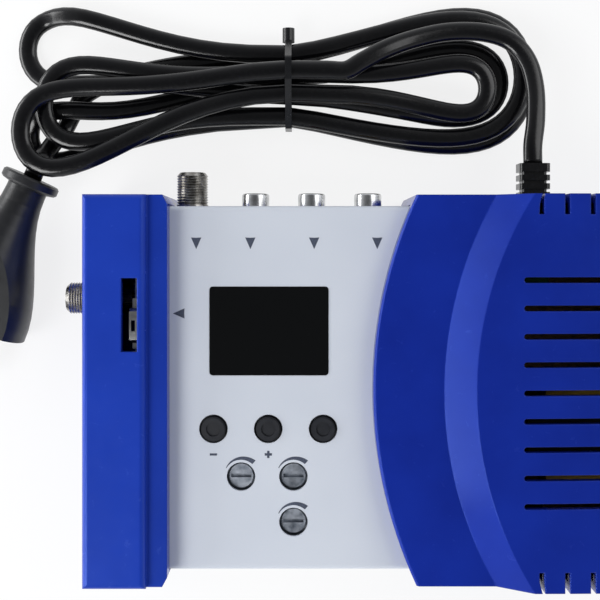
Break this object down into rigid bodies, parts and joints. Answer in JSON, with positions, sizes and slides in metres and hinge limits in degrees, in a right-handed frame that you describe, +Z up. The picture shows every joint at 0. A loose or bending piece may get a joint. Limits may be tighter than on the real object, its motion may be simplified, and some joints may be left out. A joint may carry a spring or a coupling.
{
  "type": "rf modulator",
  "caption": "Sheet metal signal modulator between two blue plastic mouldings, with display window, push buttons, trimmers, coaxial and phono connectors and a folded, tied mains cord with plug.",
  "frame": {"origin": "middle of the device's box without its cord, on the surface it stands on", "axes": "+X to the right of the panel, along the device's length, +Y to the connectors at the back, +Z up out of the panel"},
  "size_m": [0.2391, 0.1733, 0.045],
  "materials": {
    "blue_moulding": "fine moulded grain, satin",
    "panel_paint": "silver powder coat, satin",
    "tinned_sheet": "tinned steel, satin",
    "steel_fixings": "zinc plated",
    "window_lens": "polished acrylic, black",
    "display_moulding": "moulded epoxy",
    "board_green": "solder mask",
    "switch_moulding": "moulded nylon",
    "button_black": "moulded, fine grain",
    "trimmer_metal": "stamped can",
    "rotor_metal": "turned, satin",
    "white_spacers": "nylon",
    "chip_epoxy": "moulded epoxy",
    "capacitor_sleeve": "shrunk sleeve",
    "nickel_turned": "nickel plated, turned",
    "connector_white": "moulded polymer",
    "block_black": "moulded nylon",
    "insert_yellow": "moulded polymer",
    "insert_red": "moulded polymer",
    "rocker_black": "moulded nylon, fine grain",
    "board_brown": "paper laminate",
    "core_iron": "lacquered laminations",
    "coil_tape": "polyester tape",
    "fuse_glass": "clear tube",
    "black_aluminium": "black anodised",
    "terminal_green": "moulded nylon",
    "wire_brown": "extruded insulation",
    "wire_red": "extruded insulation",
    "cord_black": "extruded jacket, low gloss",
    "tie_black": "coated wire",
    "plug_black": "moulded, low gloss",
    "pin_brass": "nickel plated brass"
  },
  "bodies": {
    "device": {"left_cap": "blue_moulding", "housing_upper": "blue_moulding", "housing_lower": "blue_moulding", "chassis_cover": "panel_paint", "chassis_tray": "tinned_sheet", "cover_screws": "steel_fixings", "cap_screw": "steel_fixings", "housing_screws": "steel_fixings", "display_window": "window_lens", "display_module": "display_moulding", "control_board": "board_green", "tact_switches": "switch_moulding", "trimmer_bodies": "trimmer_metal", "main_board": "board_green", "board_standoffs": "steel_fixings", "board_spacers": "white_spacers", "board_chips": "chip_epoxy", "board_crystal": "tinned_sheet", "board_capacitors": "capacitor_sleeve", "tuner_can": "tinned_sheet", "rf_in_barrel": "nickel_turned", "rf_out_barrel": "nickel_turned", "rf_insulators": "connector_white", "rf_out_nut": "nickel_turned", "rf_out_washer": "nickel_turned", "rca_shells": "nickel_turned", "rca_blocks": "block_black", "rca_insert_yellow": "insert_yellow", "rca_insert_white": "connector_white", "rca_insert_red": "insert_red", "rocker_frame": "block_black", "supply_board": "board_brown", "transformer_core": "core_iron", "transformer_coil": "coil_tape", "supply_capacitors": "capacitor_sleeve", "supply_rectifier": "chip_epoxy", "supply_fuse": "fuse_glass", "supply_heatsink": "black_aluminium", "supply_regulator": "chip_epoxy", "mains_terminal": "terminal_green", "mains_wires": "wire_brown", "supply_wires": "wire_red", "strain_relief": "cord_black", "cord_exit_run": "cord_black", "cord_hank": "cord_black", "cord_plug_run": "cord_black", "cord_tie": "tie_black", "plug_body": "plug_black", "plug_pins": "pin_brass"},
    "left_key": {"button_left": "button_black"},
    "middle_key": {"button_middle": "button_black"},
    "right_key": {"button_right": "button_black"},
    "left_rotor": {"trimmer_left": "rotor_metal"},
    "right_rotor": {"trimmer_right": "rotor_metal"},
    "level_rotor": {"trimmer_level": "rotor_metal"},
    "rocker": {"rocker_key": "rocker_black"}
  },
  "joints": [
    {"name": "left_press", "type": "slide", "parent": "device", "child": "left_key", "axis": [0, 0, 1], "range_m": [-0.0004, 0], "stiffness_N_per_m": 600, "springref_m": 0.0005},
    {"name": "middle_press", "type": "slide", "parent": "device", "child": "middle_key", "axis": [0, 0, 1], "range_m": [-0.0004, 0], "stiffness_N_per_m": 600, "springref_m": 0.0005},
    {"name": "right_press", "type": "slide", "parent": "device", "child": "right_key", "axis": [0, 0, 1], "range_m": [-0.0004, 0], "stiffness_N_per_m": 600, "springref_m": 0.0005},
    {"name": "left_trim", "type": "hinge", "parent": "device", "child": "left_rotor", "pos_m": [-0.0408, -0.02955, 0.029], "axis": [0, 0, 1], "range_deg": [-130, 130]},
    {"name": "right_trim", "type": "hinge", "parent": "device", "child": "right_rotor", "pos_m": [-0.0256, -0.02955, 0.029], "axis": [0, 0, 1], "range_deg": [-130, 130]},
    {"name": "level_trim", "type": "hinge", "parent": "device", "child": "level_rotor", "pos_m": [-0.0256, -0.04272, 0.029], "axis": [0, 0, 1], "range_deg": [-130, 130]},
    {"name": "rocker_tilt", "type": "hinge", "parent": "device", "child": "rocker", "pos_m": [-0.0807, -0.02973, 0.018], "axis": [0, 0, 1], "range_deg": [-8, 8]}
  ]
}
